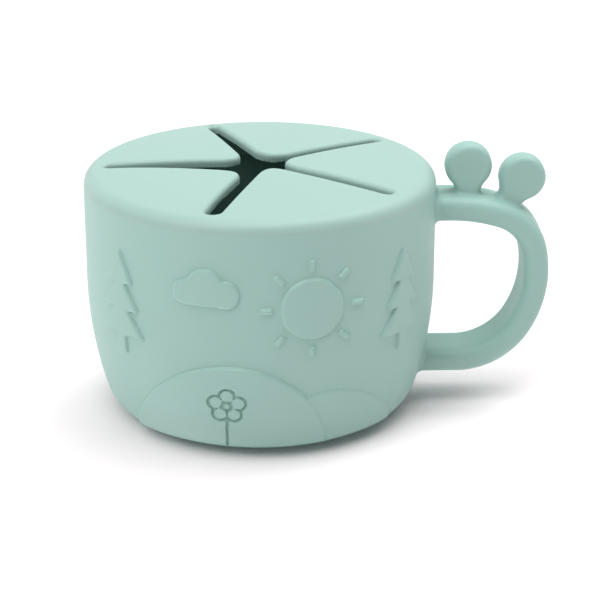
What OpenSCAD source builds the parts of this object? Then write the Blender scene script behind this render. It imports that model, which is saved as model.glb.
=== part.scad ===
// Toddler snack cup: a soft moulded cup with a D-shaped handle, and a press-in lid
// whose top is slit into five petals that a small hand pushes through.
// Millimetres. Origin: centre of the base. +Z up, +X from the axis towards the handle.

/* [Cup] */
// Outside radius of the cup at its rim
body_r = 46; // [42:0.5:50]
// Height from the base to the lid's top edge
body_h = 64.7; // [60:0.1:72]
// Thickness of the cup's wall
wall_t = 2.5; // [1.8:0.1:3]
// Thickness of the cup's floor
floor_t = 3; // [2:0.1:4.5]
// Height below which the side starts to draw in
draw_in_z = 36; // [30:1:42]
// Radius of the long curve down the side
side_curve_r = 100; // [80:1:140]
// Radius of the curve between the side and the base
base_curve_r = 10; // [6:0.5:14]

/* [Handle] */
// Width of the handle's band, across the cup
band_w = 15.2; // [12:0.1:18]
// Thickness of the handle's band
band_t = 6.7; // [5.5:0.1:8]
// Rounding of the band's long edges
band_edge_r = 2.2; // [1:0.1:2.6]
// From the lid's seat down to the top of the handle
handle_drop = 3.4; // [2:0.1:6]
// Height of the band's middle where it comes back to the cup
handle_foot_z = 11.9; // [9:0.1:15]
// Straight stretch of the band beside the cup's rim
handle_reach = 3.7; // [2:0.1:8]
// Radius of the handle's nearly flat top
top_bend_r = 44.5; // [35:0.5:60]
// Radius of the handle's upper corner
corner_bend_r = 13; // [11:0.5:16]
// Radius of the handle's back, behind the fingers
back_bend_r = 29; // [24:0.5:34]

/* [Thumb knobs] */
// Radius of a knob's round head
knob_r = 6.3; // [5:0.1:7]
// Thickness of a knob
knob_t = 6.2; // [4:0.1:8]
// Rounding of the knob's rim
knob_edge_r = 2; // [0.5:0.1:2.2]
// From the band's middle out to the middle of the head
knob_stand = 10.6; // [10:0.1:12]
// Width of a knob's neck where it leaves the band
knob_neck_w = 6.8; // [5:0.1:9]
// Heading of the band under the knob nearer the cup, in degrees below level
inner_knob_at = 5; // [4:0.1:7]
// Heading of the band under the outer knob, in degrees below level
outer_knob_at = 22.8; // [22:0.1:30]

/* [Lid] */
// Radius of the lid's outer top edge
lid_edge_r = 3.6; // [2.5:0.1:4.5]
// Thickness of the lid's top
lid_t = 2.3; // [1.8:0.1:2.6]
// Rise of the lid's middle over its edge
lid_crown = 1.6; // [0.6:0.1:2]
// Depth of the plug ring below the lid's seat
plug_depth = 6; // [4:0.5:9]
// Thickness of the plug ring
plug_t = 1.6; // [1.2:0.1:2]
// Gap between the plug ring and the cup's mouth
plug_gap = 0.15; // [0.1:0.01:0.3]
// How far each sealing rib stands out of the plug ring
seal_h = 0.1; // [0.05:0.01:0.12]
// Number of sealing ribs
seal_count = 2; // [1:1:3]

/* [Petals] */
// Number of petals
petal_count = 5; // [5:1:6]
// Width of a slit between two petals
slit_w = 3.4; // [2.6:0.1:4.2]
// From the end of a slit out to the lid's side
slit_margin = 5.5; // [5:0.1:8]
// Distance from the axis to a petal's tip
tip_at = 6.3; // [6:0.1:8]
// Rounding of a petal's tip
tip_r = 2.8; // [2:0.1:3.4]
// Width of the strip that bends at a petal's root
hinge_w = 3; // [2.4:0.1:4]
// Direction of the first slit, in degrees from +X
slit_turn = 181; // [175:1:187]

/* [Raised pictures] */
// How far the pictures stand out of the wall
relief_h = 0.8; // [0.4:0.1:1.2]
// Lowest point of the pictures above the base
relief_z = 3; // [2:0.5:8]
// Radius of the near hill
near_hill_r = 24; // [20:0.5:26]
// Radius of the far hill
far_hill_r = 17; // [14:0.5:19]
// Radius of the sun
sun_r = 8; // [6:0.5:9]
// Turn of the two trees away from the front, in degrees
side_turn = 50; // [48:1:66]

/* [Hidden] */
$fn = 96;
shell_colour = [0.66, 0.83, 0.77];

seat_z = body_h - lid_edge_r;
mouth_r = body_r - wall_t;
plug_r = mouth_r - plug_gap;
slit_end_r = body_r - slit_margin;

// The side's long curve meets the base curve where both have the same slope
draw_in_angle = asin((draw_in_z - base_curve_r) / (side_curve_r - base_curve_r));
side_centre = [body_r - side_curve_r, draw_in_z];
base_centre = side_centre
    + (side_curve_r - base_curve_r) * [cos(draw_in_angle), -sin(draw_in_angle)];

// The lid's top is part of a sphere through its middle and the start of its rounded edge
flat_r = body_r - lid_edge_r;
dome_r = (pow(flat_r, 2) + pow(lid_crown, 2)) / (2 * lid_crown);
dome_centre = [0, body_h + lid_crown - dome_r];

petal_turn = 360 / petal_count;
half_turn = petal_turn / 2;
// Distance from the axis to the two edges of a hinge strip
hinge_out = (slit_end_r - 0.1) * cos(half_turn);
hinge_in = hinge_out - hinge_w;

// The band runs level from the cup, then through four bends. A heading is the angle
// by which the band points below +X. The last radius brings the band back to its foot.
bend_to = [18, 77, 121, 176];
bend_steps = [3, 9, 7, 8];
band_start = [body_r + handle_reach, seat_z - handle_drop - band_t / 2];
function drop(i, r) = r * (cos(bend_from(i)) - cos(bend_to[i]));
foot_bend_r = (band_start.y - handle_foot_z - drop(0, top_bend_r)
    - drop(1, corner_bend_r) - drop(2, back_bend_r)) / drop(3, 1);
bend_r = [top_bend_r, corner_bend_r, back_bend_r, foot_bend_r];

function bend_from(i) = i == 0 ? 0 : bend_to[i - 1];
function outward(heading) = [sin(heading), cos(heading)];
function bend_centre(i) = bend_start(i) - bend_r[i] * outward(bend_from(i));
function bend_start(i) = i == 0 ? band_start : bend_end(i - 1);
function bend_end(i) = bend_centre(i) + bend_r[i] * outward(bend_to[i]);

// Points on an arc from angle a0 to a1
function arc(centre, r, a0, a1, steps) =
    [for (i = [0:steps]) let (a = a0 + (a1 - a0) * i / steps) centre + r * [cos(a), sin(a)]];

// Half of the cup's upright section, moved in from the outer face by inset
module cup_section(inset, top) {
    polygon(concat(
        [[0, base_centre.y - base_curve_r + inset]],
        arc(base_centre, base_curve_r - inset, -90, -draw_in_angle, 8),
        arc(side_centre, side_curve_r - inset, -draw_in_angle, 0, 10),
        [[body_r - inset, top], [0, top]]
    ));
}

module rounded_rect(x, y, r) {
    square([x - 2 * r, y], center = true);
    square([x, y - 2 * r], center = true);
    for (sx = [-1, 1], sy = [-1, 1])
        translate([sx * (x / 2 - r), sy * (y / 2 - r)]) circle(r);
}

// ---- Handle ----

// The band's section: x is outwards across its thickness, y is across its width
band_section = [
    for (corner = [[1, 1, 0], [-1, 1, 90], [-1, -1, 180], [1, -1, 270]])
        let (middle = [
            corner.x * (band_t / 2 - band_edge_r),
            corner.y * (band_w / 2 - band_edge_r)
        ])
            for (p = arc(middle, band_edge_r, corner.z, corner.z + 90, 4)) p
];

// Points along the band's middle line, each with its heading: [x, z, heading]
band_inset = body_r / 3;
function on_bend(i, heading) =
    let (p = bend_centre(i) + bend_r[i] * outward(heading)) [p.x, p.y, heading];
function band_foot(length) =
    let (p = bend_end(3) - length * [cos(180 - bend_to[3]), sin(180 - bend_to[3])])
        [p.x, p.y, bend_to[3]];
band_path = concat(
    [[body_r - band_inset, band_start.y, 0]],
    [for (i = [0:3], k = [0:bend_steps[i] - 1])
        on_bend(i, bend_from(i) + (bend_to[i] - bend_from(i)) * k / bend_steps[i])],
    [on_bend(3, bend_to[3]), band_foot(bend_end(3).x - body_r + band_inset)]
);

// A closed band swept along its path, with one ring of points at each stop
module handle() {
    n = len(band_section);
    last = len(band_path) - 1;
    points = [for (stop = band_path, q = band_section)
        let (p = [stop.x, stop.y] + q.x * outward(stop.z)) [p.x, q.y, p.y]];
    sides = [for (i = [0:last - 1], j = [0:n - 1])
        let (k = (j + 1) % n) [i * n + j, i * n + k, (i + 1) * n + k, (i + 1) * n + j]];
    ends = [[for (j = [n - 1:-1:0]) j], [for (j = [0:n - 1]) last * n + j]];
    polyhedron(points, concat(sides, ends), convexity = 4);
}

// A round head on a neck, standing square on the band
module thumb_knob(bend, heading) {
    middle = bend_centre(bend) + (bend_r[bend] + knob_stand) * outward(heading);
    slope = 35;
    translate([middle.x, 0, middle.y])
        rotate([90, 0, 0])
            rotate(-heading) {
                rotate_extrude()
                    intersection() {
                        rounded_rect(2 * knob_r, knob_t, knob_edge_r);
                        translate([0, -knob_t / 2]) square([knob_r, knob_t]);
                    }
                linear_extrude(knob_t - knob_edge_r, center = true)
                    polygon([
                        [-knob_neck_w / 2, -knob_stand],
                        [knob_neck_w / 2, -knob_stand],
                        [knob_neck_w / 2, -knob_stand + band_t / 2],
                        knob_r * [cos(slope), -sin(slope)],
                        knob_r * [-cos(slope), -sin(slope)],
                        [-knob_neck_w / 2, -knob_stand + band_t / 2]
                    ]);
            }
}

// ---- Raised pictures ----

// The layer just outside the wall that the pictures fill
module picture_layer() {
    rotate_extrude()
        intersection() {
            difference() {
                cup_section(-relief_h, seat_z);
                cup_section(wall_t / 2, seat_z);
            }
            translate([0, relief_z]) square([body_r + relief_h, seat_z - relief_z]);
        }
}

// Carries a flat picture outwards from the axis; its x is level, its y is the height
module facing(turn) {
    rotate(turn) rotate([90, 0, 0]) linear_extrude(body_r + 2 * relief_h) children();
}

module hills() {
    translate([-8, relief_z]) circle(near_hill_r);
    translate([16, relief_z - 1]) circle(far_hill_r);
}

module sun() {
    circle(sun_r);
    for (a = [0:45:315])
        rotate(a) translate([sun_r + 1.6, -0.8]) square([3.2, 1.6]);
}

module cloud(width) {
    for (lobe = [[-0.28, 0, 0.2], [0, 0.1, 0.28], [0.28, 0, 0.22]])
        translate(width * [lobe.x, lobe.y]) circle(width * lobe.z);
    translate([-0.28 * width, -0.2 * width]) square([0.56 * width, 0.2 * width]);
}

// Each tier is its foot's height, its half width and its own height
module tree() {
    for (tier = [[-6, 8.5, 11], [1, 6.8, 10], [8, 5, 9]])
        translate([0, tier[0]]) polygon([[-tier[1], 0], [tier[1], 0], [0, tier[2]]]);
    translate([-1.6, -11]) square([3.2, 6]);
}

module pictures() {
    facing(0) {
        hills();
        translate([12, 42]) sun();
        translate([-14, 46]) cloud(17);
    }
    for (side = [-1, 1]) facing(side * side_turn) translate([0, 36]) tree();
}

// ---- Sub-parts ----

module cup() {
    color(shell_colour)
        difference() {
            union() {
                rotate_extrude() cup_section(0, seat_z);
                handle();
                thumb_knob(0, inner_knob_at);
                thumb_knob(1, outer_knob_at);
                intersection() {
                    picture_layer();
                    pictures();
                }
            }
            rotate_extrude()
                intersection() {
                    cup_section(wall_t, body_h);
                    translate([0, floor_t]) square([body_r, body_h]);
                }
        }
}

// The lid's domed top, as a half section from the axis out to the plug ring
module top_section(r) {
    angle = asin(r / dome_r);
    polygon(concat(
        arc(dome_centre, dome_r, 90, 90 - angle, 6),
        arc(dome_centre, dome_r - lid_t, 90 - angle, 90, 6)
    ));
}

module lid_section() {
    edge_centre = [flat_r, seat_z];
    polygon(concat(
        arc(dome_centre, dome_r, 90, 90 - asin(flat_r / dome_r), 6),
        arc(edge_centre, lid_edge_r, 84, 0, 8),
        [
            [mouth_r, seat_z],
            [plug_r, seat_z],
            [plug_r, seat_z - plug_depth],
            [plug_r - plug_t, seat_z - plug_depth]
        ],
        arc(dome_centre, dome_r - lid_t, 90 - asin((plug_r - plug_t) / dome_r), 90, 6)
    ));
}

// Ribs round the plug ring, evenly spaced below the seat
module seal_ribs() {
    for (i = [1:seal_count])
        translate([0, 0, seat_z - plug_depth * i / (seal_count + 1)])
            rotate_extrude()
                translate([plug_r + seal_h - 0.4, 0]) circle(0.4, $fn = 32);
}

// All slits, seen from above
module slits() {
    for (i = [0:petal_count - 1])
        rotate(slit_turn + i * petal_turn) {
            translate([0, -slit_w / 2]) square([slit_end_r - slit_w / 2, slit_w]);
            translate([slit_end_r - slit_w / 2, 0]) circle(slit_w / 2);
        }
}

// The stretch of one petal's sector between two distances from the axis
module sector(near, far) {
    t = tan(half_turn);
    polygon([[near, -near * t], [far, -far * t], [far, far * t], [near, near * t]]);
}

// Runs its children in the frame of one petal, whose middle lies along +X
module at_petal(n) {
    rotate(slit_turn + (n - 0.5) * petal_turn) children();
}

module lid_ring() {
    color(shell_colour) {
        difference() {
            rotate_extrude() lid_section();
            translate([0, 0, seat_z - plug_depth])
                linear_extrude(2 * body_h) {
                    slits();
                    for (n = [1:petal_count]) at_petal(n) sector(0, hinge_out);
                }
        }
        seal_ribs();
    }
}

// A petal from its rounded tip to the hinge strip; the slits widen a little to the tips
module petal_outline() {
    tip_x = tip_at + tip_r;
    side = tip_r * [-sin(half_turn), cos(half_turn)];
    root_y = hinge_in * tan(half_turn) - slit_w / 2 / cos(half_turn);
    translate([tip_x, 0]) circle(tip_r);
    polygon([
        [tip_x + side.x, -side.y],
        [hinge_in, -root_y],
        [hinge_in, root_y],
        [tip_x + side.x, side.y]
    ]);
}

module petal(n) {
    color(shell_colour)
        intersection() {
            rotate_extrude() top_section(mouth_r);
            linear_extrude(2 * body_h) at_petal(n) petal_outline();
        }
}

module petal_hinge(n) {
    color(shell_colour)
        intersection() {
            rotate_extrude() top_section(mouth_r);
            linear_extrude(2 * body_h)
                difference() {
                    at_petal(n) sector(hinge_in, hinge_out);
                    slits();
                }
        }
}

cup();
lid_ring();
petal(1);  // petal_1
petal(2);  // petal_2
petal(3);  // petal_3
petal(4);  // petal_4
petal(5);  // petal_5
petal_hinge(1);  // petal_hinge_1
petal_hinge(2);  // petal_hinge_2
petal_hinge(3);  // petal_hinge_3
petal_hinge(4);  // petal_hinge_4
petal_hinge(5);  // petal_hinge_5
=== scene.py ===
"""A toddler's snack cup in soft silicone: a cup with a D-shaped handle and two thumb
knobs, and a lid slit into five petals, on a plain floor in soft light.

Lengths are millimetres until a mesh is made, which is in metres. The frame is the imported
part's: +Z up, the origin in the middle of the base, +X towards the handle.
"""

import itertools
import math

import bpy
import numpy as np
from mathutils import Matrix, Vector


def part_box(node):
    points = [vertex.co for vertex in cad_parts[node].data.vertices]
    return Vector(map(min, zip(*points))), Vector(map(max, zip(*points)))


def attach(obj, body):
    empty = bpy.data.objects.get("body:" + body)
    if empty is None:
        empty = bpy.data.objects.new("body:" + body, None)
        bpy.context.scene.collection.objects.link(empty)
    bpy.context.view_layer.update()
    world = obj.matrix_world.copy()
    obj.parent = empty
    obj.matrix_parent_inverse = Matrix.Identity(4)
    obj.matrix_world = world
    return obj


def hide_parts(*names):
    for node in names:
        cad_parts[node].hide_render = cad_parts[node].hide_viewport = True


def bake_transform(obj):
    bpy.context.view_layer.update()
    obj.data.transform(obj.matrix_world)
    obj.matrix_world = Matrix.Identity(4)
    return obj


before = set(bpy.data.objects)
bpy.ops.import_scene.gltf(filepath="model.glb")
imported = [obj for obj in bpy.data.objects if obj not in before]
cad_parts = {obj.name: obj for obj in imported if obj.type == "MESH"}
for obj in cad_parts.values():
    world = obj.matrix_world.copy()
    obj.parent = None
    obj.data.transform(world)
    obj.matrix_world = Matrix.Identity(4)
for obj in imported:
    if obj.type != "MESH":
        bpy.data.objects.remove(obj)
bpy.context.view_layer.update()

MM = 0.001

# ---- Sizes ----

# The main ones come from the frame and most others repeat the part's source. The edges, the
# knobs and the slits follow the soft, slightly uneven mouldings more closely than it does.

_, cup_high = (np.array(corner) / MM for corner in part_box("cup"))
rim_low, rim_high = (np.array(corner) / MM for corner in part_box("lid_ring"))

BODY_R = rim_high[0]
PLUG_DEPTH = 6.0
SEAT_Z = rim_low[2] + PLUG_DEPTH
WALL = 2.5
FLOOR = 3.0
DRAW_IN_Z = 36.0
SIDE_R = 100.0
BASE_R = 10.0

BAND_W = 15.2
BAND_T = 6.7
BAND_EDGE_R = 3.0
HANDLE_REACH = 3.7
HANDLE_DROP = 3.4
BAND_START = (BODY_R + HANDLE_REACH, SEAT_Z - HANDLE_DROP - BAND_T / 2)
BAND_FOOT_Z = 11.9
BAND_FILLET = 1.5
# Radius of each of the handle's bends but the last, and its first and last heading
BENDS = [(44.5, 0, 18), (13.0, 18, 77), (29.0, 77, 121)]
LAST_HEADING = 176

KNOB_R = 6.15
KNOB_T = 6.2
KNOB_EDGE_R = 2.0
KNOB_STAND = 10.6
KNOB_NECK_W = 6.7
KNOB_NECK_FILLET = 1.2
KNOB_FOOT_FILLET = 0.9
# The bend that each knob stands on, its heading there and how far it leans
KNOBS = [(0, 5, -5.4), (1, 23.3, 4)]

LID_EDGE_R = 3.6
LID_T = 2.3
LID_CROWN = 1.6
PLUG_T = 1.6
PLUG_GAP = 0.15
PLUG_CORNER_R = 0.5
RIB_R = 0.4
RIB_SINK = 0.3
RIB_TURN = 41
RIM_LIP = 0.15
RIM_CHAMFER = 0.2
SLIT_END_R = 40.5
TIP_R = 3.2
TIP_AT = 6.3
PETAL_EDGE_R = 1.3
PETALS = 5
SLIT_TURN = 181.0
HINGE_W = 3.0
HINGE_INSET = 0.1

# The soft petals rest a little unevenly: each slit's turn and its half widths by the tips
# and at its outer end, and how far each petal's tip stands above the dome.
SLITS = [
    (177.6, 2.8, 1.6), (252.3, 2.7, 1.9), (324.4, 2.2, 1.4), (396.3, 1.2, 1.5), (468.1, 2.3, 1.4)
]
SLITS_MEET = (-0.1, 0.2)
TIP_RISE = [-1.7, 0.2, -0.4, 0, -0.3]
RISE_SHAPE = 1.6

RELIEF_H = 0.8
RELIEF_EDGE = 0.9
RELIEF_Z = 3.0
# Middle and radius of each hill
NEAR_HILL = ((-8, 3), 24)
FAR_HILL = ((16, 2), 17)
FAR_HILL_H = RELIEF_H * 0.6
SUN_AT = (12, 42)
SUN_R = 8.0
RAYS = 8
RAY_GAP = 1.6
RAY_LENGTH = 3.2
RAY_W = 1.6
CLOUD_AT = (-14, 46)
CLOUD_W = 17.0
# Place and radius of each of the cloud's lobes, as shares of its width
CLOUD_LOBES = [(-0.28, 0, 0.2), (0, 0.1, 0.28), (0.28, 0, 0.22)]
FLOWER_AT = (-9, 16)
FLOWER_DEPTH = 0.7
FLOWER_LEAVES = 5
FLOWER_LEAF_R = 1.9
FLOWER_LEAF_AT = 2.9
FLOWER_EYE_R = 1.2
FLOWER_STEM = (-12, -4.6)
LINE_W = 0.9
TREE_Z = 36.0
TREE_CORNER_R = 1.0
# Foot, half width and height of each tier
TREE_TIERS = [(-6, 8.5, 11), (1, 6.8, 10), (8, 5, 9)]
TRUNK = ((-1.6, -11), (1.6, -5))
SIDE_TURN = 50.0

# How close together the points of the meshes lie, closest on the cup's front, where the
# pictures are: its turns run from one of FRONT to the other
FINE = 0.42
INSIDE_STEP = 5 * FINE
FRONT = (-162, -18)
FRONT_COLUMNS = 277
BACK_COLUMNS = 99
HANDLE_CELL = 0.45
RIM_STEP = 0.45
PLUG_STEP = 1.5
PLUG_CORNER_STEP = 0.2
RIB_STEP = 0.1
RIM_COLUMNS = 360
PETAL_CELL = 0.4
SECTOR_POINTS = 73

# ---- Mesh helpers ----


def add_object(name, points, faces):
    """A mesh object from points in millimetres."""
    mesh = bpy.data.meshes.new(name)
    mesh.from_pydata((np.asarray(points) * MM).tolist(), [], [list(map(int, f)) for f in faces])
    mesh.validate()
    made = bpy.data.objects.new(name, mesh)
    bpy.context.scene.collection.objects.link(made)
    return made


def boolean(target, tool, operation):
    """Cuts or joins target with tool, which is then removed."""
    change = target.modifiers.new("change", "BOOLEAN")
    change.operation = operation
    change.solver = "MANIFOLD"
    change.object = tool
    bpy.context.view_layer.objects.active = target
    bpy.ops.object.modifier_apply(modifier=change.name)
    bpy.data.objects.remove(tool)


def finish_surface(made, material, sharp_above=50):
    """Gives a mesh its material, and smooth shading but for edges that turn sharply."""
    made.data.materials.clear()
    made.data.materials.append(material)
    made.data.shade_smooth()
    made.data.set_sharp_from_angle(angle=math.radians(sharp_above))


def arc(centre, radius, start, end, step):
    """Points along an arc from one angle to another, about step apart."""
    count = max(2, round(abs(math.radians(end - start)) * radius / step))
    turn = np.radians(np.linspace(start, end, count + 1))
    return np.array(centre) + radius * np.column_stack([np.cos(turn), np.sin(turn)])


def line(start, end, step):
    """Points along a straight line, about step apart."""
    count = max(1, round(math.dist(start, end) / step))
    return np.linspace(start, end, count + 1)


def chain(*stretches):
    """One run of points from stretches that begin where the last one ended."""
    return np.vstack([stretches[0]] + [stretch[1:] for stretch in stretches[1:]])


def lathe_points(section, turns):
    """Rows of points for each (radius, height) of the section, at each turn in degrees."""
    turns = np.radians(turns)
    return np.stack([
        np.outer(section[:, 0], np.cos(turns)),
        np.outer(section[:, 0], np.sin(turns)),
        np.outer(section[:, 1], np.ones_like(turns)),
    ], axis=-1)


def grid_faces(rows, columns, closed):
    """Quads over rows by columns of points, whose columns go all the way round."""
    row, column = np.meshgrid(
        np.arange(rows if closed else rows - 1), np.arange(columns), indexing="ij"
    )
    below, above = row.ravel(), (row.ravel() + 1) % rows
    here, beside = column.ravel(), (column.ravel() + 1) % columns
    return np.column_stack([
        below * columns + here,
        below * columns + beside,
        above * columns + beside,
        above * columns + here,
    ])


# ---- Solids given by their distance function, negative inside ----


def round_join(a, b, r):
    """Two solids joined with a fillet of radius r."""
    near = np.hypot(np.maximum(r - a, 0), np.maximum(r - b, 0))
    return np.maximum(r, np.minimum(a, b)) - near


def round_meet(a, b, r):
    """What two solids share, with its edges rounded to radius r."""
    near = np.hypot(np.maximum(r + a, 0), np.maximum(r + b, 0))
    return np.minimum(-r, np.maximum(a, b)) + near


def slope(distance, points, reach=0.01):
    """Gradient of a distance function at some points."""
    steps = reach * np.eye(3)
    return np.column_stack([
        (distance(*(points + step).T) - distance(*(points - step).T)) / (2 * reach)
        for step in steps
    ])


def onto_surface(distance, points, cell):
    """Moves points to where the distance is zero, by under a cell at a time."""
    for _ in range(3):
        away, rise = distance(*points.T), slope(distance, points)
        length = np.maximum(np.sum(rise * rise, axis=1), 0.1)
        move = np.clip(away / length, -cell, cell)
        points = points - move[:, None] * rise
    return points


def onto_edge(first, second, points, reach):
    """Moves the points that lie near both surfaces onto the edge where they meet."""
    near = (np.abs(first(*points.T)) < reach) & (np.abs(second(*points.T)) < reach)
    chosen = points[near]
    for _ in range(4):
        away = [first(*chosen.T), second(*chosen.T)]
        rise = [slope(first, chosen), slope(second, chosen)]
        own = [np.sum(r * r, axis=1) for r in rise]
        shared = np.sum(rise[0] * rise[1], axis=1)
        scale = np.maximum(own[0] * own[1] - shared**2, 0.1)
        shares = [
            (away[0] * own[1] - away[1] * shared) / scale,
            (away[1] * own[0] - away[0] * shared) / scale,
        ]
        chosen = chosen - shares[0][:, None] * rise[0] - shares[1][:, None] * rise[1]
    points[near] = chosen


def polygonise(distance, low, high, cell, rounds=4, crisp=None):
    """Points and quads of the surface where distance(x, y, z) is zero.

    crisp may name two distance functions whose edge stays sharp.
    """
    axes = [np.arange(a, b + cell, cell) for a, b in zip(low, high)]
    inside = distance(*np.meshgrid(*axes, indexing="ij")) < 0
    span = [n - 1 for n in inside.shape]
    filled = sum(
        inside[i:i + span[0], j:j + span[1], k:k + span[2]].astype(int)
        for i, j, k in itertools.product((0, 1), repeat=3)
    )
    crossed = (filled > 0) & (filled < 8)
    number = np.full(crossed.shape, -1)
    number[crossed] = np.arange(crossed.sum())
    points = (np.argwhere(crossed) + 0.5) * cell + np.array(low)

    quads = []
    for axis in range(3):
        u, v = (axis + 1) % 3, (axis + 2) % 3
        near = [slice(1, -1)] * 3
        far = [slice(1, -1)] * 3
        near[axis], far[axis] = slice(0, -1), slice(1, None)
        for start, end, order in ((near, far, 1), (far, near, -1)):
            edges = np.argwhere(inside[tuple(start)] & ~inside[tuple(end)])
            around = []
            for du, dv in ((1, 1), (0, 1), (0, 0), (1, 0)):
                cells = edges.copy()
                cells[:, u] += 1 - du
                cells[:, v] += 1 - dv
                around.append(number[tuple(cells.T)])
            quads.append(np.column_stack(around[::order]))
    quads = np.vstack(quads)

    ends = np.vstack([quads[:, [i, (i + 1) % 4]] for i in range(4)])
    count = np.bincount(ends[:, 0], minlength=len(points)) + 1e-9
    points = onto_surface(distance, points, cell / 2)
    for _ in range(rounds):
        middle = np.column_stack([
            np.bincount(ends[:, 0], points[ends[:, 1], k], len(points)) / count for k in range(3)
        ])
        points = onto_surface(distance, (points + middle) / 2, cell / 2)
    if crisp:
        onto_edge(*crisp, points, cell * 0.6)
    return points, quads


# ---- Cup ----


def base_curve(inset, radius):
    """Centre of the curve between a face of the side and the base, and where it starts."""
    reach = SIDE_R - inset - radius
    turn = math.asin((DRAW_IN_Z - BASE_R) / reach)
    return (BODY_R - SIDE_R + reach * math.cos(turn), BASE_R), math.degrees(turn)


def side_section(inset, radius, step):
    """Points up one face of the cup's side, from the base curve to the seat."""
    centre, turn = base_curve(inset, radius)
    return chain(
        arc(centre, radius, -90, -turn, step),
        arc((BODY_R - SIDE_R, DRAW_IN_Z), SIDE_R - inset, -turn, 0, step),
        line((BODY_R - inset, DRAW_IN_Z), (BODY_R - inset, SEAT_Z), step),
    )


def outside_cup(x, y, z):
    """Distance from the outer face of the cup's side."""
    centre, turn = base_curve(0, BASE_R)
    rho = np.hypot(x, y)
    across, down = rho - (BODY_R - SIDE_R), DRAW_IN_Z - z
    on_base = down > math.tan(math.radians(turn)) * across
    side = np.where(z > DRAW_IN_Z, rho - BODY_R, np.hypot(across, down) - SIDE_R)
    return np.where(on_base, np.hypot(rho - centre[0], z - centre[1]) - BASE_R, side)


def disc(x, z, middle, radius):
    """Distance from a disc."""
    return np.hypot(x - middle[0], z - middle[1]) - radius


def bar(x, z, low, high):
    """Distance from an upright rectangle between two corners."""
    across = np.abs(x - (low[0] + high[0]) / 2) - (high[0] - low[0]) / 2
    along = np.abs(z - (low[1] + high[1]) / 2) - (high[1] - low[1]) / 2
    outside = np.hypot(np.maximum(across, 0), np.maximum(along, 0))
    return outside + np.minimum(np.maximum(across, along), 0)


def sun(x, z):
    """Outline of a disc with short rays round it."""
    turns = np.radians(360 / RAYS * np.arange(RAYS))
    low, high = (SUN_R + RAY_GAP, -RAY_W / 2), (SUN_R + RAY_GAP + RAY_LENGTH, RAY_W / 2)
    rays = [
        bar(x * math.cos(a) + z * math.sin(a), z * math.cos(a) - x * math.sin(a), low, high)
        for a in turns
    ]
    return np.minimum.reduce([disc(x, z, (0, 0), SUN_R), *rays])


def cloud(x, z):
    """Outline of a cloud: round lobes on a flat foot."""
    lobes = [disc(x, z, (a * CLOUD_W, b * CLOUD_W), r * CLOUD_W) for a, b, r in CLOUD_LOBES]
    (left, _, drop), (right, _, _) = CLOUD_LOBES[0], CLOUD_LOBES[-1]
    foot = bar(x, z, (left * CLOUD_W, -drop * CLOUD_W), (right * CLOUD_W, 0))
    return np.minimum.reduce([*lobes, foot])


def tree(x, z):
    """Outline of a fir: pointed tiers over a trunk."""
    tiers = [bar(x, z, *TRUNK)]
    for foot, half, height in TREE_TIERS:
        slant = np.abs(x) * height + (z - foot - height) * half
        tiers.append(round_meet(slant / math.hypot(height, half), foot - z, TREE_CORNER_R))
    return np.minimum.reduce(tiers)


def flower(x, z):
    """Outline of a flower on a stem, as thin lines."""
    turns = np.radians(90 + 360 / FLOWER_LEAVES * np.arange(FLOWER_LEAVES))
    middles = [(FLOWER_LEAF_AT * math.cos(a), FLOWER_LEAF_AT * math.sin(a)) for a in turns]
    leaves = np.minimum.reduce([disc(x, z, middle, FLOWER_LEAF_R) for middle in middles])
    lines = np.minimum(np.abs(leaves), np.abs(disc(x, z, (0, 0), FLOWER_EYE_R)))
    stem = bar(x, z, (0, FLOWER_STEM[0]), (0, FLOWER_STEM[1]))
    return np.minimum(lines, stem) - LINE_W / 2


def hill(x, z, middle, radius):
    """Outline of a round hill that ends a little above the base."""
    return np.maximum(disc(x, z, middle, radius), RELIEF_Z - z)


# Each picture's turn from the front, its outline seen from there, its height and the radius
# of its upper edge. The flower is cut in.
PICTURES = [
    (0, lambda x, z: hill(x, z, *NEAR_HILL), RELIEF_H, RELIEF_EDGE),
    (0, lambda x, z: hill(x, z, *FAR_HILL), FAR_HILL_H, RELIEF_EDGE),
    (0, lambda x, z: sun(x - SUN_AT[0], z - SUN_AT[1]), RELIEF_H, RELIEF_EDGE),
    (0, lambda x, z: cloud(x - CLOUD_AT[0], z - CLOUD_AT[1]), RELIEF_H, RELIEF_EDGE),
    (-SIDE_TURN, lambda x, z: tree(x, z - TREE_Z), RELIEF_H, RELIEF_EDGE),
    (SIDE_TURN, lambda x, z: tree(x, z - TREE_Z), RELIEF_H, RELIEF_EDGE),
    (0, lambda x, z: flower(x - FLOWER_AT[0], z - FLOWER_AT[1]), -FLOWER_DEPTH, LINE_W / 2),
]


def picture_outline(turn, outline):
    """Distance outside a picture, as a function of a place on the cup's front half."""
    a = math.radians(turn)

    def distance(x, y, z):
        across, towards = x * math.cos(a) + y * math.sin(a), y * math.cos(a) - x * math.sin(a)
        return np.where(towards < 0, outline(across, z), 2 * BODY_R)

    return distance


def picture_height(x, y, z):
    """How far the pictures stand out of the side: sharp at the foot and round above."""
    raised, sunk = np.zeros_like(x), np.zeros_like(x)
    for turn, outline, height, edge in PICTURES:
        share = np.clip(-picture_outline(turn, outline)(x, y, z) / edge, 0, 1)
        stands = height * np.sqrt(1 - (1 - share) ** 2)
        raised, sunk = np.maximum(raised, stands), np.minimum(sunk, stands)
    return raised + sunk


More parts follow.
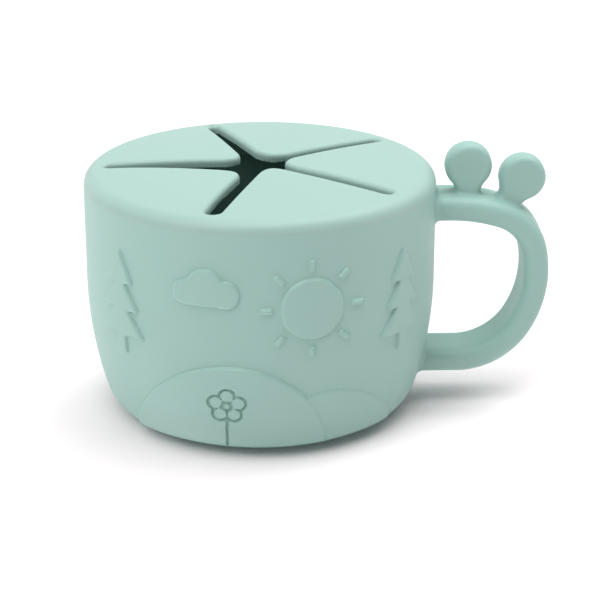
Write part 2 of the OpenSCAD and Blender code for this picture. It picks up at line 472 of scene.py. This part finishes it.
def onto_outlines(points, normals):
    """Moves the grid's points that are nearest a picture's outline onto it.

    Says which ones they are, so that the outline's foot comes out as a crisp line.
    """
    moved = np.zeros(points.shape[:2], bool)
    for turn, outline, _, _ in PICTURES:
        distance = picture_outline(turn, outline)
        away = distance(*np.moveaxis(points, -1, 0))
        on = np.zeros_like(moved)
        for axis in (0, 1):
            here, beside = [slice(None)] * 2, [slice(None)] * 2
            here[axis], beside[axis] = slice(None, -1), slice(1, None)
            here, beside = tuple(here), tuple(beside)
            crosses = (away[here] < 0) != (away[beside] < 0)
            nearer = np.abs(away[here]) <= np.abs(away[beside])
            on[here] |= crosses & nearer
            on[beside] |= crosses & ~nearer
        chosen, square = points[on], normals[on]
        start = chosen.copy()
        for _ in range(4):
            rise = slope(distance, chosen)
            rise -= np.sum(rise * square, axis=1)[:, None] * square
            length = np.maximum(np.sum(rise * rise, axis=1), 0.1)
            chosen = chosen - (distance(*chosen.T) / length)[:, None] * rise
        kept = np.linalg.norm(chosen - start, axis=1) < FINE
        points[on] = np.where(kept[:, None], chosen, start)
        moved |= on
    return moved


def split_across(quads, moved):
    """Splits the quads that an outline crosses, from corner to corner, into triangles."""
    on = moved.ravel()[quads]
    first = on[:, 0] & on[:, 2] & ~on[:, 1] & ~on[:, 3]
    second = on[:, 1] & on[:, 3] & ~on[:, 0] & ~on[:, 2]
    return [
        *quads[~first & ~second],
        *quads[first][:, [0, 1, 2]], *quads[first][:, [0, 2, 3]],
        *quads[second][:, [0, 1, 3]], *quads[second][:, [1, 2, 3]],
    ]


def cup_turns():
    """Turns of the cup's columns: close together in front, wider apart behind."""
    first, last = FRONT
    front = np.linspace(first, last, FRONT_COLUMNS)
    behind = np.linspace(last, first + 360, BACK_COLUMNS)[1:-1]
    return np.concatenate([front, behind])


def make_cup():
    """The cup as one closed mesh: its wall with the pictures, its floor and its handle."""
    outer = side_section(0, BASE_R, FINE)
    inner = side_section(WALL, BASE_R - FLOOR, INSIDE_STEP)[::-1]
    turns = cup_turns()
    tangent = np.gradient(outer, axis=0)
    normal = np.column_stack([tangent[:, 1], -tangent[:, 0]])
    normal /= np.hypot(*normal.T)[:, None]
    outside, normals = lathe_points(outer, turns), lathe_points(normal, turns)
    moved = onto_outlines(outside, normals)
    outside += picture_height(*np.moveaxis(outside, -1, 0))[..., None] * normals
    rows = np.concatenate([outside, lathe_points(inner, turns)])
    moved = np.pad(moved, ((0, len(inner)), (0, 0)))

    count, columns = rows.shape[:2]
    points = np.vstack([rows.reshape(-1, 3), [[0, 0, 0], [0, 0, FLOOR]]])
    under, above = len(points) - 2, len(points) - 1
    here = np.arange(columns)
    beside = (here + 1) % columns
    last = (count - 1) * columns
    faces = split_across(grid_faces(count, columns, False), moved)
    faces += list(np.column_stack([np.full(columns, under), beside, here]))
    faces += list(np.column_stack([np.full(columns, above), last + here, last + beside]))
    cup = add_object("cup_moulding", points, faces)
    boolean(cup, make_handle(), "UNION")
    return cup


# ---- Handle and knobs ----


def outward(heading):
    """Square to the band on its outer side; a heading is an angle below +X, in (x, z)."""
    a = math.radians(heading)
    return np.array([math.sin(a), math.cos(a)])


def band_bends():
    """(centre, radius, first and last heading) of each bend, and where the last one ends."""
    at = np.array(BAND_START)
    bends = []

    def add(radius, first, last):
        nonlocal at
        centre = at - radius * outward(first)
        bends.append((centre, radius, first, last))
        at = centre + radius * outward(last)

    for bend in BENDS:
        add(*bend)
    first = BENDS[-1][2]
    drop = math.cos(math.radians(first)) - math.cos(math.radians(LAST_HEADING))
    add((at[1] - BAND_FOOT_Z) / drop, first, LAST_HEADING)
    return bends, at


BAND, BAND_END = band_bends()


def to_segment(x, z, start, end):
    """Distance from a straight stretch of the band's middle."""
    along = np.subtract(end, start)
    share = ((x - start[0]) * along[0] + (z - start[1]) * along[1]) / np.dot(along, along)
    share = np.clip(share, 0, 1)
    return np.hypot(x - start[0] - share * along[0], z - start[1] - share * along[1])


def to_bend(x, z, centre, radius, first, last):
    """Distance from a bend of the band's middle."""
    heading = np.arctan2(x - centre[0], z - centre[1])
    heading = np.clip(heading % (2 * np.pi), math.radians(first), math.radians(last))
    return np.hypot(
        x - centre[0] - radius * np.sin(heading), z - centre[1] - radius * np.cos(heading)
    )


def rounded_box(a, b, half_a, half_b, r):
    """Distance from a rectangle of the given half widths, with its corners rounded."""
    over_a, over_b = np.abs(a) - half_a + r, np.abs(b) - half_b + r
    outside = np.hypot(np.maximum(over_a, 0), np.maximum(over_b, 0))
    return outside + np.minimum(np.maximum(over_a, over_b), 0) - r


def band(x, y, z):
    """The handle's band, whose ends run on into the cup."""
    reach = BODY_R / 3
    inner_end = BAND_END + reach * np.array([math.cos(math.radians(LAST_HEADING)), 0])
    away = np.minimum.reduce([
        to_segment(x, z, (BAND_START[0] - reach, BAND_START[1]), BAND_START),
        *[to_bend(x, z, *bend) for bend in BAND],
        to_segment(x, z, BAND_END, inner_end),
    ])
    return rounded_box(away, y, BAND_T / 2, BAND_W / 2, BAND_EDGE_R)


def knob(x, y, z, bend, heading, lean):
    """A round head over the band at a heading, on a neck that leans from there."""
    centre, radius = BAND[bend][:2]
    middle = centre + (radius + KNOB_STAND) * outward(heading)
    towards = outward(heading + lean)
    up = (x - middle[0]) * towards[0] + (z - middle[1]) * towards[1]
    across = (x - middle[0]) * towards[1] - (z - middle[1]) * towards[0]
    head = np.hypot(up, across) - KNOB_R
    neck = bar(across, up, (-KNOB_NECK_W / 2, -KNOB_STAND), (KNOB_NECK_W / 2, 0))
    outline = round_join(head, neck, KNOB_NECK_FILLET)
    over, beyond = outline + KNOB_EDGE_R, np.abs(y) - KNOB_T / 2 + KNOB_EDGE_R
    outside = np.hypot(np.maximum(over, 0), np.maximum(beyond, 0))
    return outside + np.minimum(np.maximum(over, beyond), 0) - KNOB_EDGE_R


# A patch of the cup's side, sunk just under its face, that the handle's fillet runs out on:
# how far it goes past the band, how low under the seat it starts and where it ends.
PATCH_SINK = 0.02
PATCH_BESIDE = 3
PATCH_UNDER_SEAT = 0.8
PATCH_FOOT_Z = 4.5
HANDLE_ROOT = 1.3
HANDLE_ROOT_EDGE_R = 0.4


def handle(x, y, z):
    """Band and knobs with their fillets, ending in a root inside the cup's wall."""
    depth = -outside_cup(x, y, z)
    patch = np.maximum.reduce([
        PATCH_SINK - depth,
        np.abs(y) - BAND_W / 2 - PATCH_BESIDE,
        z - SEAT_Z + PATCH_UNDER_SEAT,
        PATCH_FOOT_Z - z,
    ])
    knobs = np.minimum(*[knob(x, y, z, *at) for at in KNOBS])
    whole = round_join(band(x, y, z), knobs, KNOB_FOOT_FILLET)
    rooted = round_join(whole, patch, BAND_FILLET)
    return round_meet(rooted, depth - HANDLE_ROOT, HANDLE_ROOT_EDGE_R)


def make_handle():
    """The handle as a mesh, from a box that holds it with a little room to spare."""
    room, inwards, foot = 1, 9, 3
    half_w = BAND_W / 2 + (PATCH_BESIDE + room)
    low = (BODY_R - inwards, -half_w, foot)
    high = (cup_high[0] + room, half_w, cup_high[2] + room)
    return add_object("handle", *polygonise(handle, low, high, HANDLE_CELL))


# ---- Lid ----

FLAT_R = BODY_R - LID_EDGE_R
DOME_R = (FLAT_R**2 + LID_CROWN**2) / (2 * LID_CROWN)
DOME_Z = SEAT_Z + LID_EDGE_R + LID_CROWN - DOME_R
PLUG_R = BODY_R - WALL - PLUG_GAP
RIM_IN_R = PLUG_R - PLUG_T - RIM_LIP
HALF_TURN = 180 / PETALS
HINGE_R = SLIT_END_R * math.cos(math.radians(HALF_TURN))


def dome(rho, depth=0):
    """Height of the lid's top, or of the surface that lies depth under it."""
    return DOME_Z + np.sqrt((DOME_R - depth) ** 2 - np.square(rho))


def make_rim():
    """The lid from the petals' outer edge to the cup's side, with its plug ring."""
    edge_end = 90 - math.degrees(math.asin(FLAT_R / (DOME_R - LID_EDGE_R)))
    corner_r = PLUG_CORNER_R
    inner = PLUG_R - PLUG_T
    foot = SEAT_Z - PLUG_DEPTH
    ribs = [
        arc((PLUG_R - RIB_SINK, foot + PLUG_DEPTH * share), RIB_R, -RIB_TURN, RIB_TURN, RIB_STEP)
        for share in (1 / 3, 2 / 3)
    ]
    top = [(rho, dome(rho)) for rho in np.linspace(FLAT_R, RIM_IN_R, 3)]
    section = np.vstack([
        [(RIM_IN_R, dome(RIM_IN_R, LID_T))],
        [(inner, dome(inner, LID_T) - RIM_CHAMFER)],
        line((inner, SEAT_Z), (inner, foot + corner_r), PLUG_STEP)[:-1],
        arc((inner + corner_r, foot + corner_r), corner_r, 180, 270, PLUG_CORNER_STEP),
        arc((PLUG_R - corner_r, foot + corner_r), corner_r, -90, 0, PLUG_CORNER_STEP),
        *ribs,
        [(PLUG_R, SEAT_Z)],
        arc((FLAT_R, SEAT_Z), LID_EDGE_R, 0, edge_end, RIM_STEP),
        top[1:],
    ])
    turns = 360 / RIM_COLUMNS * np.arange(RIM_COLUMNS)
    points = lathe_points(section, turns)
    faces = grid_faces(len(section), len(turns), True)
    return add_object("lid_rim", points.reshape(-1, 3), faces)


def petal_turn(n):
    """Unit vector along petal n's middle line."""
    turn = math.radians(SLIT_TURN + (2 * n + 1) * HALF_TURN)
    return np.array([math.cos(turn), math.sin(turn)])


def from_slit(slit, x, y):
    """Distances along a slit and to its left, and its half width there."""
    turn, inner, outer = SLITS[slit % PETALS]
    x, y, turn = x - SLITS_MEET[0], y - SLITS_MEET[1], math.radians(turn)
    along = x * math.cos(turn) + y * math.sin(turn)
    beside = y * math.cos(turn) - x * math.sin(turn)
    share = (along - TIP_AT) / (SLIT_END_R - TIP_AT)
    return along, beside, inner + (outer - inner) * share


def past_slit(slit, x, y):
    """Distance outside one slit, whose outer end is round."""
    along, beside, half = from_slit(slit, x, y)
    end_half = SLITS[slit][2]
    beyond = np.maximum(along - SLIT_END_R + end_half, 0)
    half = np.where(beyond > 0, end_half, half)
    return np.hypot(beyond + np.minimum(along, 0), beside) - half


def petal_outline(n, x, y):
    """Distance outside petal n's two edges and its blunt tip."""
    _, left, half = from_slit(n, x, y)
    _, left_of_next, next_half = from_slit(n + 1, x, y)
    towards = petal_turn(n)
    tip = TIP_AT - (x - SLITS_MEET[0]) * towards[0] - (y - SLITS_MEET[1]) * towards[1]
    edges = round_meet(half - left, next_half + left_of_next, TIP_R)
    return round_meet(edges, tip, TIP_R)


def tip_rise(n, x, y):
    """How far petal n stands above the dome; nothing outside its bending line."""
    towards = petal_turn(n)
    share = (HINGE_R - x * towards[0] - y * towards[1]) / (HINGE_R - TIP_AT)
    return TIP_RISE[n] * np.clip(share, 0, 1.2) ** RISE_SHAPE


def plate_faces(x, y, z):
    """Distances from the lid's top inside the rim, with its slits, and from its underside."""
    outlines = np.stack([petal_outline(n, x, y) for n in range(PETALS)])
    nearest = outlines.argmin(axis=0)
    rises = np.stack([tip_rise(n, x, y) for n in range(PETALS)])
    z = z - np.take_along_axis(rises, nearest[None], axis=0)[0]
    rho = np.hypot(x, y)
    slits = np.minimum.reduce([past_slit(n, x, y) for n in range(PETALS)])
    outline = np.where(rho < SLIT_END_R / 2, outlines.min(axis=0), -slits)
    from_dome = np.hypot(rho, z - DOME_Z) - DOME_R
    return round_meet(from_dome, outline, PETAL_EDGE_R), -from_dome - LID_T


def plate_top(x, y, z):
    """Distance from the lid's top alone."""
    return plate_faces(x, y, z)[0]


def plate_under(x, y, z):
    """Distance from the lid's underside alone."""
    return plate_faces(x, y, z)[1]


def plate(x, y, z):
    """The lid inside the rim and a little past it; its slits are round above and sharp below."""
    past_rim = np.hypot(x, y) - RIM_IN_R - 1
    return round_meet(np.maximum(*plate_faces(x, y, z)), past_rim, 0.4)


def sector_tool(n):
    """An upright prism over petal n, from one slit's middle to the next."""
    first, last = SLITS[n][0], SLITS[(n + 1) % PETALS][0]
    last += 360 * (last < first)
    turns = np.radians(np.linspace(first, last, SECTOR_POINTS))
    middle = np.array(SLITS_MEET)
    rim = []
    for turn in turns:
        towards = np.array([math.cos(turn), math.sin(turn)])
        out = math.sqrt(RIM_IN_R**2 - middle @ middle + (middle @ towards) ** 2)
        rim.append(middle + (out - middle @ towards) * towards)
    outline = np.vstack([middle, rim])
    count = len(outline)
    low, high = SEAT_Z - 5, SEAT_Z + 10
    points = [(*p, low) for p in outline] + [(*p, high) for p in outline]
    sides = [(i, (i + 1) % count, (i + 1) % count + count, i + count) for i in range(count)]
    ends = [range(count)[::-1], range(count, 2 * count)]
    return add_object("sector", points, sides + ends)


def make_petals():
    """The five petals, cut from one plate so that they meet the rim in one line."""
    reach = RIM_IN_R + 2
    low = (-reach, -reach, SEAT_Z - 2.5)
    high = (reach, reach, SEAT_Z + LID_EDGE_R + LID_CROWN + 1)
    mesh = polygonise(plate, low, high, PETAL_CELL, crisp=(plate_top, plate_under))
    whole = add_object("petals", *mesh)
    petals = []
    for n in range(PETALS):
        petal = whole.copy()
        petal.data = whole.data.copy()
        petal.name = f"lid_petal_{n + 1}"
        bpy.context.scene.collection.objects.link(petal)
        boolean(petal, sector_tool(n), "INTERSECT")
        petals.append(petal)
    bpy.data.objects.remove(whole)
    return petals


# ---- Materials ----

CUP_MINT = (0.313, 0.511, 0.459)
# The lid is the same silicone as the cup. Its colour is the cup's mint made paler and less
# green, as painted sheen for the light that its top catches.
LID_MINT_PAINTED_SHEEN = (0.331, 0.501, 0.452)
SILICONE_SPECULAR = 0.5
CLOUD_SIZE = 28.0
CLOUDINESS = 0.012
SATIN = 0.5
SATIN_SIZE = 6.0
UNEVEN_SATIN = 0.035
GRAIN_SIZE = 0.45
GRAIN_DETAIL = 3.0
CUP_GRAIN = 0.006
LID_GRAIN = 0.004
FLOOR_WHITE = (0.93, 0.875, 0.89)


def noise(tree, place, size, low, high, detail=2.0):
    """Noise whose lumps are about size mm across, spread from low to high."""
    source = tree.nodes.new("ShaderNodeTexNoise")
    source.inputs["Scale"].default_value = 1 / (size * MM)
    source.inputs["Detail"].default_value = detail
    spread = tree.nodes.new("ShaderNodeMapRange")
    spread.inputs["To Min"].default_value = low
    spread.inputs["To Max"].default_value = high
    tree.links.new(place, source.inputs["Vector"])
    tree.links.new(source.outputs["Fac"], spread.inputs["Value"])
    return spread.outputs["Result"]


def silicone(name, colour, grain):
    """Satin silicone: a slightly cloudy colour, uneven satin and the fine grain of the mould."""
    material = bpy.data.materials.new(name)
    material.use_nodes = True
    tree = material.node_tree
    surface = tree.nodes["Principled BSDF"]
    surface.inputs["Specular IOR Level"].default_value = SILICONE_SPECULAR
    place = tree.nodes.new("ShaderNodeTexCoord").outputs["Object"]

    shade = tree.nodes.new("ShaderNodeHueSaturation")
    shade.inputs["Color"].default_value = (*colour, 1)
    clouds = noise(tree, place, CLOUD_SIZE, 1 - CLOUDINESS, 1 + CLOUDINESS)
    tree.links.new(clouds, shade.inputs["Value"])
    tree.links.new(shade.outputs["Color"], surface.inputs["Base Color"])

    satin = noise(tree, place, SATIN_SIZE, SATIN - UNEVEN_SATIN, SATIN + UNEVEN_SATIN)
    tree.links.new(satin, surface.inputs["Roughness"])

    bump = tree.nodes.new("ShaderNodeBump")
    bump.inputs["Strength"].default_value = 1
    bump.inputs["Distance"].default_value = grain * MM
    grains = noise(tree, place, GRAIN_SIZE, 0, 1, GRAIN_DETAIL)
    tree.links.new(grains, bump.inputs["Height"])
    tree.links.new(bump.outputs["Normal"], surface.inputs["Normal"])
    return material


def white_floor():
    """A matt white that makes up for the mint light thrown on it."""
    material = bpy.data.materials.new("floor_white")
    material.use_nodes = True
    surface = material.node_tree.nodes["Principled BSDF"]
    surface.inputs["Base Color"].default_value = (*FLOOR_WHITE, 1)
    surface.inputs["Roughness"].default_value = 1
    surface.inputs["Specular IOR Level"].default_value = 0
    return material


# ---- Studio ----


FLOOR_REACH = 6000


def make_floor():
    """A wide floor that lets the light from below through."""
    low, high = -FLOOR_REACH, FLOOR_REACH
    points = [(low, low, 0), (high, low, 0), (high, high, 0), (low, high, 0)]
    floor = add_object("floor", points, [(0, 1, 2, 3)])
    floor.data.materials.append(white_floor())
    floor.visible_shadow = False


# Turn from +X and height over the floor, in degrees, and strength of each soft light. The
# last comes up through the floor, as light that a bright table gives back.
LIGHTS = [
    (0, 90, 1.0),
    (240, 65, 0.95),
    (60, 65, 0.6),
    (0, 65, 0.75),
    (225, 40, 0.7),
    (45, 40, 0.85),
    (180, 40, 0.45),
    (135, 15, 0.55),
    (90, 15, 0.35),
    (0, 15, 0.3),
    (180, -60, 0.7),
]
LIGHT_SPREAD = 40.0

CAMERA_AT = (-5.415, -492.86, 216.42)
CAMERA_DOWN = 20.983
CAMERA_TURN = -1.845
SENSOR_W = 36
LENS = 118.24


def add_sun(turn, height, strength):
    """A soft light from far away."""
    light = bpy.data.lights.new("softbox", "SUN")
    light.energy = strength
    light.angle = math.radians(LIGHT_SPREAD)
    made = bpy.data.objects.new("softbox", light)
    made.rotation_euler = (0, math.radians(90 - height), math.radians(turn))
    bpy.context.scene.collection.objects.link(made)


def make_studio():
    """Floor, lights all round and a white backdrop that lights nothing, and the camera."""
    make_floor()
    world = bpy.data.worlds.new("studio")
    world.use_nodes = True
    world.node_tree.nodes["Background"].inputs["Color"].default_value = (1, 1, 1, 1)
    bpy.context.scene.world = world
    world.cycles_visibility.diffuse = False
    world.cycles_visibility.glossy = False
    for light in LIGHTS:
        add_sun(*light)
    bpy.context.scene.view_settings.view_transform = "Standard"
    bpy.context.scene.cycles.diffuse_bounces = 2

    camera = bpy.data.objects.new("camera", bpy.data.cameras.new("camera"))
    camera.location = np.array(CAMERA_AT) * MM
    camera.rotation_euler = (math.radians(90 - CAMERA_DOWN), 0, math.radians(CAMERA_TURN))
    camera.data.sensor_width = SENSOR_W
    camera.data.lens = LENS
    bpy.context.scene.collection.objects.link(camera)
    bpy.context.scene.camera = camera


# ---- The whole ----

cup_silicone = silicone("silicone_cup", CUP_MINT, CUP_GRAIN)
# The lid and petals get a paler copy of the cup's silicone: painted sheen.
lid_silicone_painted_sheen = silicone("silicone_lid_painted_sheen", LID_MINT_PAINTED_SHEEN, LID_GRAIN)

cup = make_cup()
finish_surface(cup, cup_silicone, 40)
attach(cup, "cup")
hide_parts("cup")

rim = make_rim()
finish_surface(rim, lid_silicone_painted_sheen)
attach(rim, "lid")
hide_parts("lid_ring")

for n, petal in enumerate(make_petals(), 1):
    towards = np.array([*petal_turn(n - 1), 0])
    height = np.array([0, 0, SEAT_Z])
    bend = (HINGE_R - HINGE_INSET, HINGE_R - (HINGE_INSET + HINGE_W))
    start, end = (tuple((r * towards + height) * MM) for r in bend)
    finish_surface(petal, lid_silicone_painted_sheen)
    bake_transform(petal)
    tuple(start)
    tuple(end)
    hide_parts(f"petal_{n}", f"petal_hinge_{n}")

make_studio()
